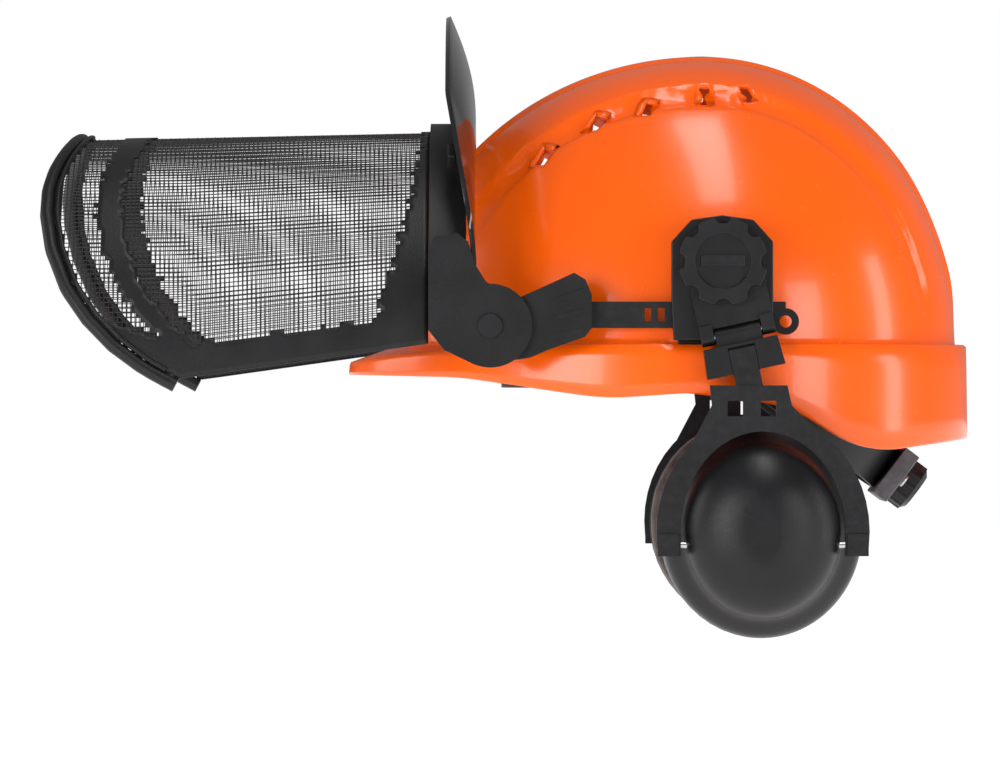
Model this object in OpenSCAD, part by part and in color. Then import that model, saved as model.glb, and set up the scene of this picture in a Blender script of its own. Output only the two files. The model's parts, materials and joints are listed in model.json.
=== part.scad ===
/* [Shell] */
// Half width of the dome at the ledge
dome_half_w = 103; // [95:1:112]
// Length of the dome ahead of its centre
dome_front = 142; // [132:1:150]
// Length of the dome behind its centre
dome_rear = 119; // [110:1:128]
// Height of the dome above the ledge
dome_h = 131; // [120:1:140]
// Height of the ledge above the headband's lower edge
ledge_z = 22; // [19:1:25]
// How far the band stands out from the dome
band_out = 6; // [5.5:0.5:8]
// How far the peak reaches past the band
peak_out = 18; // [10:1:26]
// Shell wall
wall = 2.5; // [2:0.25:3]
// Height of the raised shoulders beside the crown ridge
shoulder_rise = 3; // [1:0.5:4]

/* [Visor] */
// Distance of the visor pivot ahead of the origin
pivot_fwd = 104; // [100:1:110]
// Height of the visor pivot
pivot_z = 30; // [29:1:33]
// Half width of the visor frame
frame_half_w = 113; // [112:1:120]
// Reach of the visor frame from its pivot
frame_reach = 96; // [90:1:104]
// Width of the frame's band
frame_band = 17; // [12:1:20]
// Thickness of the frame's band and ears
frame_t = 3; // [2:0.5:3]
// Radius of the frame's ears
ear_r = 19; // [16:1:20]
// Length of the screen along its side edge
screen_side = 142; // [124:1:154]
// Thickness of the screen
screen_t = 1; // [0.8:0.1:1.2]
// Radius of the rim bead
bead_r = 3.2; // [2.5:0.1:4]
// Reach of the brim shield from the visor pivot
shield_reach = 146; // [130:1:156]
// Diameter of the visor pivot pins
pin_d = 6; // [4:0.5:8]

/* [Ear muffs] */
// Height of the knob's centre
knob_z = 59; // [56:1:62]
// Radius of the pivot knob
knob_r = 20; // [17:1:21]
// Lean of the arm towards the rear, in degrees
arm_lean = 12; // [8:1:14]
// Width of the arm block
arm_w = 34; // [30:1:37]
// Half width of the ear cup
cup_half_w = 46; // [43:1:47]
// Half height of the ear cup
cup_half_h = 49; // [46:1:51]
// Depth of the ear cup
cup_depth = 43; // [40:1:48]
// Thickness of the ear cushion
cushion_t = 14; // [10:1:16]
// Diameter of the cup's pivot pins
cup_pin_d = 3; // [2.5:0.1:3.2]

/* [Head harness] */
// Half width of the headband
band_half_w = 78; // [74:1:82]
// Half length of the headband
band_half_l = 99; // [94:1:104]
// Height of the headband
band_h = 30; // [24:1:34]
// Width of the crown straps
strap_w = 19; // [15:1:25]
// Width of the nape strap
nape_w = 22; // [18:1:26]
// Diameter of the ratchet knob
ratchet_d = 22; // [18:1:26]

/* [Fits] */
// Clearance round each running pin
pin_gap = 0.1; // [0.05:0.05:0.2]
// Gap between pieces that move past each other
move_gap = 0.5; // [0.4:0.1:0.8]
// Gap between pieces that are pushed together
seat_gap = 0.1; // [0.1:0.05:0.2]

/* [Hidden] */
$fn = 48;

orange = "#ff5a00";
black = "#1c1c1e";
dark = "#2a2a2c";
grey = "#55565a";
brown = "#3a2c26";
fabric = "#4a4a4c";

// A closed skin from rings of points; every ring has the same count.
// Faces run outwards when the rings climb and turn counter-clockwise.
function flat(lists) = [for (l = lists) for (p = l) p];
function ring_quads(count, rings, first = 0) = [
    for (r = [0 : rings - 2]) for (i = [0 : count - 1])
        let (a = first + r * count + i, b = first + r * count + (i + 1) % count)
        each [[a, a + count, b], [b, a + count, b + count]]
];

// ---- Shell ----------------------------------------------------------------

shell_y = -5;          // centre of the dome
turns = 72;            // cells round the dome
dome_rings = 19;       // rings between the ledge and the crown
turn_step = 360 / turns;
// Vent scoops on the left: ring above the edge, and cell round the dome
vents = [[10, 62], [12, 64], [13, 67], [14, 71], [14, 3]];

function turn(i) = turn_step / 2 + i * turn_step;
function reach(a, front, rear) = sin(a) < 0 ? front : rear;
function lift(x) = shoulder_rise * (1 - smooth(abs(x), 46, 56));
function smooth(v, low, high) =
    let (t = min(1, max(0, (v - low) / (high - low)))) t * t * (3 - 2 * t);
function peak(a) = pow(max(0, -sin(a)), 4);
function dome_point(a, e, off) = let (
    x = (dome_half_w - off) * cos(e) * cos(a),
    y = shell_y + (reach(a, dome_front, dome_rear) - off) * cos(e) * sin(a),
    z = ledge_z + (dome_h - off) * sin(e) + lift(x) * smooth(e, 18, 40)
) [x, y, z];
function band_point(a, z, off) = [
    (dome_half_w + band_out - off) * cos(a),
    shell_y + (reach(a, dome_front, dome_rear) + band_out + peak_out * peak(a) - off) * sin(a),
    z
];
function edge_z(y) = lookup(y, [
    [-170, 8], [-120, 7], [-51, -3], [-8, 0], [32, -7], [46, -15], [58, -23], [76, -27], [124, -21]
]);
function low_z(a) = edge_z(band_point(a, 0, 0)[1]);
function ledge_drop(a) = 8 * peak(a);
function dome_angle(r) = 88 * r / (dome_rings - 1);
// Rings of the outside, from the lower edge to the crown
function skin(off, drop) = concat(
    [[for (i = [0 : turns - 1]) band_point(turn(i), low_z(turn(i)), off)]],
    [[for (i = [0 : turns - 1])
        band_point(turn(i), ledge_z - ledge_drop(turn(i)) - drop, off + 0.6)]],
    [for (r = [0 : dome_rings - 1])
        [for (i = [0 : turns - 1])
            let (p = dome_point(turn(i), dome_angle(r), off)) r == 0 ? p - [0, 0, drop] : p]]
);
skin_rings = dome_rings + 2;
// A cell is open in the accessory slots and in the vents
function slot_cell(r, i) = r == 1 && (
    i >= turns - 2 || i <= 0 || (i >= turns / 2 - 2 && i <= turns / 2));
function mirror_cell(i) = wrap(turns / 2 - 2 - i);
function vent_cell(r, i) = len([for (v = vents)
    if (v[0] == r && (i == v[1] || i == mirror_cell(v[1]))) v]) > 0;
function open_cell(r, i) = slot_cell(r, i) || vent_cell(r, i);
function wrap(i) = (i + turns) % turns;

module shell() {
    outer = skin(0, 0);
    inner = skin(wall, wall);
    total = turns * skin_rings;
    points = concat(flat(outer), flat(inner));
    top = skin_rings - 1;
    faces = concat(
        [for (r = [0 : top - 1]) for (i = [0 : turns - 1]) if (!open_cell(r, i))
            let (a = r * turns + i, b = r * turns + wrap(i + 1))
            each [[a, a + turns, b], [b, a + turns, b + turns]]],
        [for (r = [0 : top - 1]) for (i = [0 : turns - 1]) if (!open_cell(r, i))
            let (a = total + r * turns + i, b = total + r * turns + wrap(i + 1))
            each [[a, b, a + turns], [b, b + turns, a + turns]]],
        // The crown, outside and inside
        [[for (i = [0 : turns - 1]) top * turns + turns - 1 - i]],
        [[for (i = [0 : turns - 1]) total + top * turns + i]],
        // The lower edge
        [for (i = [0 : turns - 1])
            let (a = i, b = wrap(i + 1)) each [[a, b, total + a], [b, total + b, total + a]]],
        // The walls of the openings
        [for (r = [0 : top - 1]) for (i = [0 : turns - 1]) if (open_cell(r, i))
            let (a = r * turns + i, b = r * turns + wrap(i + 1), c = a + turns, d = b + turns)
            each concat(
                open_cell(r, wrap(i - 1)) ? [] : opening_wall(c, a, total),
                open_cell(r, wrap(i + 1)) ? [] : opening_wall(b, d, total),
                opening_wall(a, b, total),
                opening_wall(d, c, total))]
    );
    color(orange) polyhedron(points, faces, convexity = 8);
}
function opening_wall(a, b, total) = [[a, b, a + total], [b, b + total, a + total]];

// ---- Head harness ---------------------------------------------------------

harness_y = 0;
band_z = 2;
band_t = 2;
sweat_t = 3;
crown_gap = 30;        // space between the crown straps and the dome

module oval(half_w, half_l, count = 72) {
    polygon([for (i = [0 : count - 1]) [half_w * cos(360 * i / count),
        half_l * sin(360 * i / count)]]);
}

module oval_ring(half_w, half_l, t, h) {
    linear_extrude(h) difference() {
        oval(half_w, half_l);
        oval(half_w - t, half_l - t);
    }
}

module headband() {
    color(black) translate([0, harness_y, band_z])
        oval_ring(band_half_w, band_half_l, band_t, band_h);
}

module sweatband() {
    inset = band_t + seat_gap;
    color(brown) translate([0, harness_y, band_z + 1]) intersection() {
        oval_ring(band_half_w - inset, band_half_l - inset, sweat_t, band_h - 2);
        translate([-band_half_w, -band_half_l, 0]) cube([2 * band_half_w, band_half_l, band_h]);
    }
}

strap_t = 1.2;
strap_low = band_z + band_h - 8;
strap_top = ledge_z + dome_h - crown_gap;
strap_angles = [30, 90, 150];
function strap_reach(a) =
    let (w = band_half_w + seat_gap + 0.05, l = band_half_l + seat_gap + 0.05)
    w * l / sqrt(pow(l * cos(a), 2) + pow(w * sin(a), 2));

module strap_arch(half, off) {
    steps = 32;
    function at(k, o) = let (e = 180 * k / steps)
        [(half + o) * cos(e), strap_low + (strap_top - strap_low + o) * sin(e)];
    polygon(concat([for (k = [0 : steps]) at(k, off + strap_t)],
        [for (k = [steps : -1 : 0]) at(k, off)]));
}

module crown_straps() {
    color(fabric) translate([0, harness_y, 0])
        for (k = [0 : 2]) rotate(strap_angles[k]) translate([0, strap_w / 2, 0]) rotate([90, 0, 0])
            linear_extrude(strap_w) strap_arch(strap_reach(strap_angles[k]) + 3, 0);
}

module crown_pad() {
    color(dark) translate([0, harness_y, strap_top - 10]) cylinder(r = 24, h = 4);
}

anchor_w = 12;
anchor_h = 7;
anchor_z = ledge_z - wall - anchor_h - 1;
function shell_reach(a, off) =
    let (w = dome_half_w - off, l = reach(a, dome_front, dome_rear) - off)
    w * l / sqrt(pow(l * cos(a), 2) + pow(w * sin(a), 2));

// Clips from the headband out to the inside of the band, under each strap end
module strap_anchors() {
    color(black) for (a = [for (s = strap_angles) each [s, s + 180]]) {
        inside = strap_reach(a) + 1.4;
        far = shell_reach(a, wall) - 1.5 + (sin(a) > 0 ? -4 : 4);
        translate([0, harness_y, anchor_z]) rotate(a) translate([inside, -anchor_w / 2, 0])
            cube([max(6, far - inside - 4), anchor_w, anchor_h]);
    }
}

// The nape strap leaves the headband's sides and drops behind the head
nape_start = 22;
nape_drop = 37;        // slope of the strap in degrees
nape_half_w = 68;
nape_len = 75;
nape_z = 9;

module nape_frame() {
    translate([0, nape_start, nape_z]) rotate([-nape_drop, 0, 0]) children();
}

module nape_half(half_w, half_l, t, h) {
    translate([0, 0, -h / 2]) intersection() {
        oval_ring(half_w, half_l, t, h);
        translate([-half_w, 0, 0]) cube([2 * half_w, half_l, h]);
    }
}

module nape_strap() {
    color(black) nape_frame() nape_half(nape_half_w, nape_len, 2, nape_w);
}

module nape_pad() {
    pad_w = 80;
    color(brown) nape_frame() intersection() {
        nape_half(nape_half_w - 2.1, nape_len - 2.1, 4, nape_w - 2);
        translate([-pad_w / 2, 0, -nape_w]) cube([pad_w, 2 * nape_len, 2 * nape_w]);
    }
}

housing_w = 46;
housing_h = 26;
housing_t = 8;
shaft_d = 6;
module ratchet_frame() {
    nape_frame() translate([0, nape_len + seat_gap, 0]) rotate([-90, 0, 0]) children();
}

module ratchet_housing() {
    color(grey) ratchet_frame() difference() {
        linear_extrude(housing_t) square([housing_w, housing_h], center = true);
        translate([0, 0, -1]) cylinder(d = shaft_d + 2 * pin_gap, h = housing_t + 2);
    }
}

module ratchet_pinion() {
    color(black) ratchet_frame() translate([0, 0, 0.2])
        cylinder(d = shaft_d, h = housing_t + move_gap - 0.2);
}

module ratchet_knob() {
    knob_h = 9;
    color(black) ratchet_frame() translate([0, 0, housing_t + move_gap]) {
        cylinder(d = ratchet_d, h = knob_h - 2);
        translate([0, 0, knob_h - 2]) cylinder(d1 = ratchet_d, d2 = ratchet_d - 5, h = 2);
        for (k = [0 : 11]) rotate(30 * k) translate([ratchet_d / 2 - 0.6, 0, 0])
            cylinder(d = 2.4, h = knob_h - 2, $fn = 16);
    }
}

module nape_rivets() {
    color(grey) ratchet_frame() for (x = [-1, 1])
        translate([x * (housing_w / 2 - 4.5), 0, housing_t]) cylinder(d = 6, h = 1.6, $fn = 24);
}

// ---- Visor carrier and side adapters --------------------------------------

plate_x = 107;         // inner face of the adapter
strap_x = dome_half_w + 0.8;
carrier_t = 2.4;
carrier_z = 29;
carrier_h = 12;
carrier_front = -72;
carrier_rear = 30;
bracket_x = strap_x - 0.4;
ear_x = frame_half_w - 0.7;
adapter_y = 1;
adapter_w = 46;
adapter_low = ledge_z + 1.4;
adapter_t = 6;
tongue_y = -19;        // front edge of the tongue in the accessory slot
tongue_w = 24;
tongue_t = 1.4;
tongue_len = 17;

module side_plate(x, t) {
    translate([x, 0, 0]) rotate([90, 0, 90]) linear_extrude(t) children();
}

module both(side) {
    if (side > 0) children();
    else mirror([1, 0, 0]) children();
}

// A flat strap with an eyelet at its rear end
module strap(side) {
    color(black) both(side) side_plate(strap_x, carrier_t) difference() {
        union() {
            translate([carrier_front, carrier_z]) square([carrier_rear - carrier_front, carrier_h]);
            translate([carrier_rear, carrier_z + 3]) circle(r = 6);
        }
        translate([carrier_rear, carrier_z + 3]) circle(d = 5.5);
        for (k = [0 : 1]) translate([-34 + 6 * k, carrier_z + 3]) square([3, 6]);
    }
}

// The bracket clips over the strap and carries the visor's pivot pin
module bracket(side) {
    depth = ear_x - move_gap - bracket_x;
    color(dark) both(side) difference() {
        union() {
            side_plate(bracket_x, depth) polygon([
                [-101, 21], [-99, 39], [-66, 54], [-61, 51], [-58, 44], [-58, 29], [-61, 25],
                [-78, 19], [-86, 15.5], [-96, 14]
            ]);
            side_plate(bracket_x, depth) translate([-pivot_fwd, pivot_z]) circle(r = 10);
            for (k = [0 : 2]) side_plate(bracket_x, depth + 0.4) polygon([
                [-76, 42 - 8 * k], [-62, 47 - 9 * k], [-62, 45 - 9 * k], [-76, 40 - 8 * k]
            ]);
        }
        translate([strap_x - seat_gap, carrier_front - seat_gap, carrier_z - seat_gap])
            cube([carrier_t + 2 * seat_gap, 80, carrier_h + 2 * seat_gap]);
        translate([0, -pivot_fwd, pivot_z]) rotate([0, 90, 0])
            cylinder(d = pin_d, h = 2 * frame_half_w);
    }
}

// Housing in the shell's side slot: plate, tongue and the seat for the knob
module adapter(side) {
    top = knob_z + knob_r + 1;
    color(black) both(side) difference() {
        union() {
            side_plate(plate_x, adapter_t) polygon([
                [adapter_y - 22, adapter_low], [adapter_y + 17, adapter_low],
                [adapter_y + 23, adapter_low + 8], [adapter_y + 23, top - 12],
                [adapter_y + 14, top - 2], [adapter_y, top], [adapter_y - 14, top - 2],
                [adapter_y - 23, top - 12], [adapter_y - 23, adapter_low + 14]
            ]);
            translate([dome_half_w + move_gap, tongue_y, adapter_low])
                cube([plate_x - dome_half_w, tongue_w, 3]);
            translate([dome_half_w + move_gap, tongue_y, adapter_low - tongue_len])
                cube([tongue_t, tongue_w, tongue_len + 1]);
        }
        translate([0, adapter_y, knob_z]) rotate([0, 90, 0])
            cylinder(d = 10 + 2 * pin_gap, h = 200);
    }
}

// ---- Visor ----------------------------------------------------------------

// The visor hangs on its pivot: f is its reach above the pivot when it is
// raised, h its distance ahead of the pivot.
band_start = 11;
screen_start = band_start + frame_band + 0.3;
screen_half_w = frame_half_w - frame_t - 1.4;
screen_reach = frame_reach - frame_t - 1.4;
function side_f(h) = -4 - 20 * min(1, h / screen_side);
function rim_h(u) = screen_side / 139 * lookup(min(u, 180 - u),
    [[0, 138], [4, 152], [9, 165], [15, 176], [22, 185], [32, 192], [42, 195], [50, 195],
        [58, 193], [66, 190], [74, 187], [82, 185], [90, 184]]);
function screen_point(u, h, off) = let (
    base = side_f(h),
    reach_f = screen_reach - 4 * h / rim_h(90)
) [
    (screen_half_w + off) * cos(u),
    -pivot_fwd - h,
    pivot_z + base + (reach_f - base + off) * sin(u)
];

// A curved patch of the visor between two lines of h, of a given thickness
module patch(u0, u1, nu, nv, off, t, low, high) {
    function h_at(u, v) = v == 0 ? low_h(low, u) : v == nv ? high_h(high, u)
        : low_h(low, u) + (high_h(high, u) - low_h(low, u)) * v / nv;
    count = (nu + 1) * (nv + 1);
    grid = [for (o = [off, off + t]) for (v = [0 : nv]) for (k = [0 : nu])
        let (u = u0 + (u1 - u0) * k / nu) screen_point(u, h_at(u, v), o)];
    function id(s, v, k) = s * count + v * (nu + 1) + k;
    polyhedron(grid, concat(
        [for (v = [0 : nv - 1]) for (k = [0 : nu - 1]) each [
            [id(1, v, k), id(1, v + 1, k), id(1, v, k + 1)],
            [id(1, v, k + 1), id(1, v + 1, k), id(1, v + 1, k + 1)],
            [id(0, v, k), id(0, v, k + 1), id(0, v + 1, k)],
            [id(0, v, k + 1), id(0, v + 1, k + 1), id(0, v + 1, k)]]],
        [for (k = [0 : nu - 1]) each [
            [id(0, 0, k), id(1, 0, k), id(0, 0, k + 1)],
            [id(1, 0, k), id(1, 0, k + 1), id(0, 0, k + 1)],
            [id(0, nv, k), id(0, nv, k + 1), id(1, nv, k)],
            [id(1, nv, k), id(0, nv, k + 1), id(1, nv, k + 1)]]],
        [for (v = [0 : nv - 1]) each [
            [id(0, v, 0), id(0, v + 1, 0), id(1, v, 0)],
            [id(1, v, 0), id(0, v + 1, 0), id(1, v + 1, 0)],
            [id(0, v, nu), id(1, v, nu), id(0, v + 1, nu)],
            [id(1, v, nu), id(1, v + 1, nu), id(0, v + 1, nu)]]]
    ), convexity = 6);
}
function low_h(kind, u) = kind == "start" ? screen_start
    : kind == "stripe" ? rim_h(u) - 30 : band_start + frame_band + 1;
function high_h(kind, u) = kind == "rim" ? rim_h(u) : kind == "side" ? rim_h(u) - 8
    : rim_h(u) - 19;

module visor_screen() {
    color([0.1, 0.1, 0.11, 0.6]) patch(0, 180, 40, 12, 0, screen_t, "start", "rim");
}

module visor_stripe() {
    color(black) patch(2, 178, 40, 1, screen_t + 0.1, 1, "stripe", "inner");
}

border_turn = 7;
module visor_borders() {
    color(black) for (u = [0, 180 - border_turn])
        patch(u, u + border_turn, 2, 8, screen_t + 1.2, 1, "border", "side");
}

module visor_rim() {
    steps = 48;
    sides = 8;
    function edge(k) = let (u = 180 * k / steps) screen_point(u, rim_h(u), 0.5);
    function bead_ring(k) = let (
        ahead = edge(min(k + 1, steps)) - edge(max(k - 1, 0)),
        along = ahead / norm(ahead),
        out = cross(along, [0, 1, 0]) / norm(cross(along, [0, 1, 0])),
        up = cross(out, along),
        centre = edge(k) - (bead_r + 0.8) * up
    ) [for (j = [0 : sides - 1])
        centre + bead_r * (out * cos(360 * j / sides) + up * sin(360 * j / sides))];
    rings = [for (k = [0 : steps]) bead_ring(k)];
    color(dark) polyhedron(flat(rings), concat(
        [for (k = [0 : steps - 1]) for (j = [0 : sides - 1])
            let (a = k * sides + j, b = k * sides + (j + 1) % sides)
            each [[a, b, a + sides], [b, b + sides, a + sides]]],
        [[for (j = [0 : sides - 1]) sides - 1 - j]],
        [[for (j = [0 : sides - 1]) steps * sides + j]]
    ), convexity = 6);
}

arch_low = 20;         // height over the pivot at which the arch starts
// The frame's arch, a closed outline in x and f
module arch(half_w, reach_f, t) {
    steps = 40;
    function at(k, o) = let (u = 180 * k / steps)
        [(half_w - o) * cos(u), side_f(20) + (reach_f - side_f(20) - o) * sin(u)];
    intersection() {
        polygon(concat([for (k = [0 : steps]) at(k, 0)], [for (k = [steps : -1 : 0]) at(k, t)]));
        translate([-half_w - 1, arch_low]) square([2 * half_w + 2, reach_f]);
    }
}

module upright(h, depth) {
    translate([0, -pivot_fwd - h, pivot_z]) rotate([90, 0, 0]) linear_extrude(depth) children();
}

module visor_frame() {
    color(black) difference() {
        union() {
            upright(band_start, frame_band) arch(frame_half_w, frame_reach, frame_t);
            for (s = [-1, 1]) both(s) {
                side_plate(ear_x, frame_t) translate([-pivot_fwd, pivot_z]) circle(r = ear_r);
                side_plate(ear_x - 6, frame_t + 6) translate([-pivot_fwd, pivot_z]) polygon([
                    [-band_start - frame_band, arch_low - 8],
                    [-band_start - frame_band, arch_low + 14], [-band_start, arch_low + 14],
                    [-band_start, arch_low - 8]
                ]);
                side_plate(ear_x, frame_t) translate([-pivot_fwd, pivot_z]) polygon([
                    [-band_start - frame_band, arch_low + 16], [-band_start - frame_band, -2],
                    [-21, -11], [-8, -17.2], [8, 14], [-2, 20], [-7, 28], [-10, arch_low + 18],
                    [-15, arch_low + 22], [-band_start - frame_band + 3, arch_low + 20]
                ]);
            }
        }
        translate([-200, -pivot_fwd, pivot_z]) rotate([0, 90, 0])
            cylinder(d = pin_d + 2 * pin_gap, h = 400);
    }
}

shield_low = 42;
shield_t = 2.5;
shield_h = band_start + 2;
module brim_shield() {
    steps = 40;
    gap = frame_t + seat_gap;
    function outer(k) = let (u = 180 * k / steps)
        [(frame_half_w + 1.6) * cos(u), shield_low + (shield_reach - shield_low) * sin(u)];
    function inner(k) = let (u = 180 * k / steps) [
        (frame_half_w + seat_gap) * cos(u),
        side_f(20) + (frame_reach - side_f(20) + seat_gap) * sin(u)
    ];
    color(black) upright(shield_h, shield_t) difference() {
        polygon([for (k = [0 : steps]) outer(k)]);
        polygon(concat([for (k = [0 : steps]) inner(k)], [[-frame_half_w, -40], [frame_half_w, -40]]));
    }
}

// Clips that hold the shield against the frame's arch
module shield_clips() {
    color(dark) for (u = [50, 90, 130]) {
        x = (frame_half_w + 3) * cos(u);
        f = side_f(20) + (frame_reach - side_f(20) + 3) * sin(u);
        translate([x, -pivot_fwd - shield_h - shield_t - 0.1, pivot_z + f]) rotate([0, 90 - u, 0])
            rotate([90, 0, 0]) translate([-5, 1, 0]) cube([10, 8, 4]);
    }
}

module pivot_pins() {
    color(grey) for (s = [-1, 1]) both(s) translate([0, -pivot_fwd, pivot_z])
        rotate([0, 90, 0]) {
            translate([0, 0, bracket_x + 1]) cylinder(d = pin_d, h = ear_x + frame_t - bracket_x - 0.7);
            translate([0, 0, ear_x + frame_t + 0.3]) cylinder(d = pin_d + 5, h = 1.6);
        }
}

// ---- Ear muffs ------------------------------------------------------------

knob_x = plate_x + adapter_t;
arm_x = knob_x + move_gap;
arm_t = 5;
seam_z = -33;          // hinge line below the knob's centre, along the arm
block_low = -51;
hinge_d = 3;
hinge_x = arm_x + arm_t / 2 + 1;
knuckle_r = 3.25;
lug_w = 6;
yoke_x = arm_x + 5.5;
yoke_t = 4;
cup_y = 19;
cup_z = -63;
cup_base = dome_half_w - 4.5;
pin_z = cup_z - 6;
pin_x = yoke_x + yoke_t / 2;

module arm_frame() {
    translate([0, adapter_y, knob_z]) rotate([arm_lean, 0, 0]) children();
}

// Knob with a shaft through the adapter and a lobed grip
module knob(side) {
    grip_x = arm_x + arm_t + 0.1;
    color(black) both(side) translate([0, adapter_y, knob_z]) rotate([0, 90, 0]) {
        translate([0, 0, plate_x - 0.6]) cylinder(d = 10, h = grip_x - plate_x + 0.6);
        translate([0, 0, grip_x]) difference() {
            cylinder(r = knob_r, h = 5);
            for (k = [0 : 7]) rotate(45 * k) translate([knob_r + 1, 0, -1])
                cylinder(r = 4, h = 7, $fn = 24);
            translate([0, 0, 3.4]) cylinder(r = knob_r * 0.62, h = 3);
        }
        translate([0, 0, grip_x + 3.4]) linear_extrude(1.6) square([5, knob_r], center = true);
    }
}

// The arm under the knob, down to the hinge seam
module arm(side) {
    color(dark) both(side) arm_frame() difference() {
        union() {
            side_plate(arm_x, arm_t) circle(r = knob_r - 1);
            side_plate(arm_x, arm_t) polygon([
                [-arm_w / 2, 0], [-arm_w / 2, seam_z + 4], [arm_w / 2, seam_z + 4], [arm_w / 2, 0]
            ]);
            for (y = [-arm_w / 2, arm_w / 2 - lug_w]) translate([0, y, 0]) {
                translate([hinge_x - knuckle_r, 0, seam_z]) cube([2 * knuckle_r, lug_w, 6]);
                translate([hinge_x, 0, seam_z]) rotate([-90, 0, 0]) cylinder(r = knuckle_r, h = lug_w);
            }
        }
        rotate([0, 90, 0]) cylinder(d = 10 + 2 * pin_gap, h = 300);
        translate([hinge_x, -50, seam_z]) rotate([-90, 0, 0])
            cylinder(d = hinge_d, h = 100);
    }
}

module hinge_pin(side) {
    color(grey) both(side) arm_frame() translate([hinge_x, -arm_w / 2 + 0.4, seam_z])
        rotate([-90, 0, 0]) cylinder(d = hinge_d, h = arm_w - 0.8);
}

// The block swings on the hinge pin and guides the yoke's stem
stem_w = 12;
module block(side) {
    half = arm_w / 2 - lug_w - move_gap;
    color(black) both(side) arm_frame() difference() {
        union() {
            translate([hinge_x - knuckle_r, -half, seam_z - 6]) cube([2 * knuckle_r, 2 * half, 6]);
            translate([hinge_x, -half, seam_z]) rotate([-90, 0, 0])
                cylinder(r = knuckle_r, h = 2 * half);
            side_plate(arm_x, arm_t + 4) polygon([
                [-arm_w / 2, seam_z - 4 - move_gap], [arm_w / 2, seam_z - 4 - move_gap],
                [arm_w / 2 + 1, block_low], [-arm_w / 2 - 1, block_low]
            ]);
        }
        translate([hinge_x, -50, seam_z]) rotate([-90, 0, 0])
            cylinder(d = hinge_d + 2 * pin_gap, h = 100);
        translate([yoke_x - move_gap / 2, -(stem_w + move_gap) / 2, block_low - 1])
            cube([yoke_t - 0.6 + move_gap, stem_w + move_gap, seam_z - 5 - block_low]);
    }
}

// An egg-shaped outline about the cup's centre
module cup_oval(half_w, half_h) {
    translate([cup_y, cup_z]) oval(half_w, half_h, 48);
}

// Fork that holds the cup by two pins, with the stem that slides in the block
shoulder = 0.78;       // width of the cup at its shoulder, as a share of its base
open_w = shoulder * cup_half_w + 1.2;
open_h = shoulder * cup_half_h + 7;
fork_w = 11;
module yoke(side) {
    outer_w = open_w + fork_w;
    color(black) both(side) difference() {
        union() {
            side_plate(yoke_x, yoke_t) difference() {
                union() {
                    intersection() {
                        cup_oval(outer_w, open_h + 8);
                        translate([cup_y - 60, pin_z - 5]) square([120, 100]);
                    }
                    polygon([[-5, 3], [30, 3], [32, -6], [53, -27], [-15, -27], [-4, -6]]);
                }
                cup_oval(open_w, open_h);
                translate([cup_y - open_w, cup_z - 60]) square([2 * open_w, 60]);
                for (y = [3, 18]) translate([y, -11]) square([7, 7]);
            }
            arm_frame() translate([yoke_x, -stem_w / 2, block_low - 10])
                cube([yoke_t - 0.6, stem_w, seam_z - 7 - block_low + 10]);
            for (y = [-1, 1]) translate([yoke_x - 1.2, cup_y + y * (open_w + 5.7) - 4.8, pin_z - 5])
                cube([yoke_t + 2.4, 9.6, 10]);
        }
        translate([pin_x, cup_y - 100, pin_z]) rotate([-90, 0, 0])
            cylinder(d = cup_pin_d + 2 * pin_gap, h = 200);
    }
}

module cup_pins(side) {
    pin_in = open_w - 7;
    pin_len = fork_w + 5;
    color(grey) both(side) for (y = [-1, 1])
        translate([pin_x, cup_y + (y > 0 ? pin_in : -pin_in - pin_len), pin_z])
            rotate([-90, 0, 0]) cylinder(d = cup_pin_d, h = pin_len, $fn = 32);
}

// The cup is a shouldered dome, open towards the head
cup_wall = 3;
function cup_profile(off) = concat(
    [[0, 1], [8, 1]],
    [[13, 0.94]],
    [for (k = [0 : 7]) let (e = 11.5 * k)
        [19 + (cup_depth - 19 - off) * sin(e), (shoulder - 0.04) * cos(e) + 0.04]]
);
function cup_ring(p, off) = [for (i = [0 : 47]) let (a = 7.5 * i) [
    cup_base + p[0],
    cup_y + (cup_half_w * p[1] - off) * cos(a),
    cup_z + ((cup_half_h * p[1] + (1 - p[1]) * 8) - off) * sin(a)
]];

module cup(side) {
    count = 48;
    outer = [for (p = cup_profile(0)) cup_ring(p, 0)];
    inner_profile = [for (p = cup_profile(cup_wall)) if (p[1] > 0.2) p];
    inner = [for (p = inner_profile) cup_ring(p, cup_wall)];
    n_out = len(outer);
    n_in = len(inner);
    base = n_out * count;
    faces = concat(
        [for (r = [0 : n_out - 2]) for (i = [0 : count - 1])
            let (a = r * count + i, b = r * count + (i + 1) % count)
            each [[a, a + count, b], [b, a + count, b + count]]],
        [[for (i = [0 : count - 1]) (n_out - 1) * count + count - 1 - i]],
        [for (r = [0 : n_in - 2]) for (i = [0 : count - 1])
            let (a = base + r * count + i, b = base + r * count + (i + 1) % count)
            each [[a, b, a + count], [b, b + count, a + count]]],
        [[for (i = [0 : count - 1]) base + (n_in - 1) * count + i]],
        [for (i = [0 : count - 1]) let (j = (i + 1) % count)
            each [[i, j, base + i], [j, base + j, base + i]]]
    );
    color(black) both(side) polyhedron(concat(flat(outer), flat(inner)), faces, convexity = 6);
}

plate_t = 2.4;
module back_plate(side) {
    color(dark) both(side) side_plate(cup_base - plate_t - seat_gap, plate_t) difference() {
        cup_oval(cup_half_w, cup_half_h);
        cup_oval(cup_half_w - 17, cup_half_h - 17);
    }
}

module foam(side) {
    color(grey) both(side) side_plate(cup_base + 1, 10)
        cup_oval(cup_half_w - cup_wall - 4, cup_half_h - cup_wall - 4);
}

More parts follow.
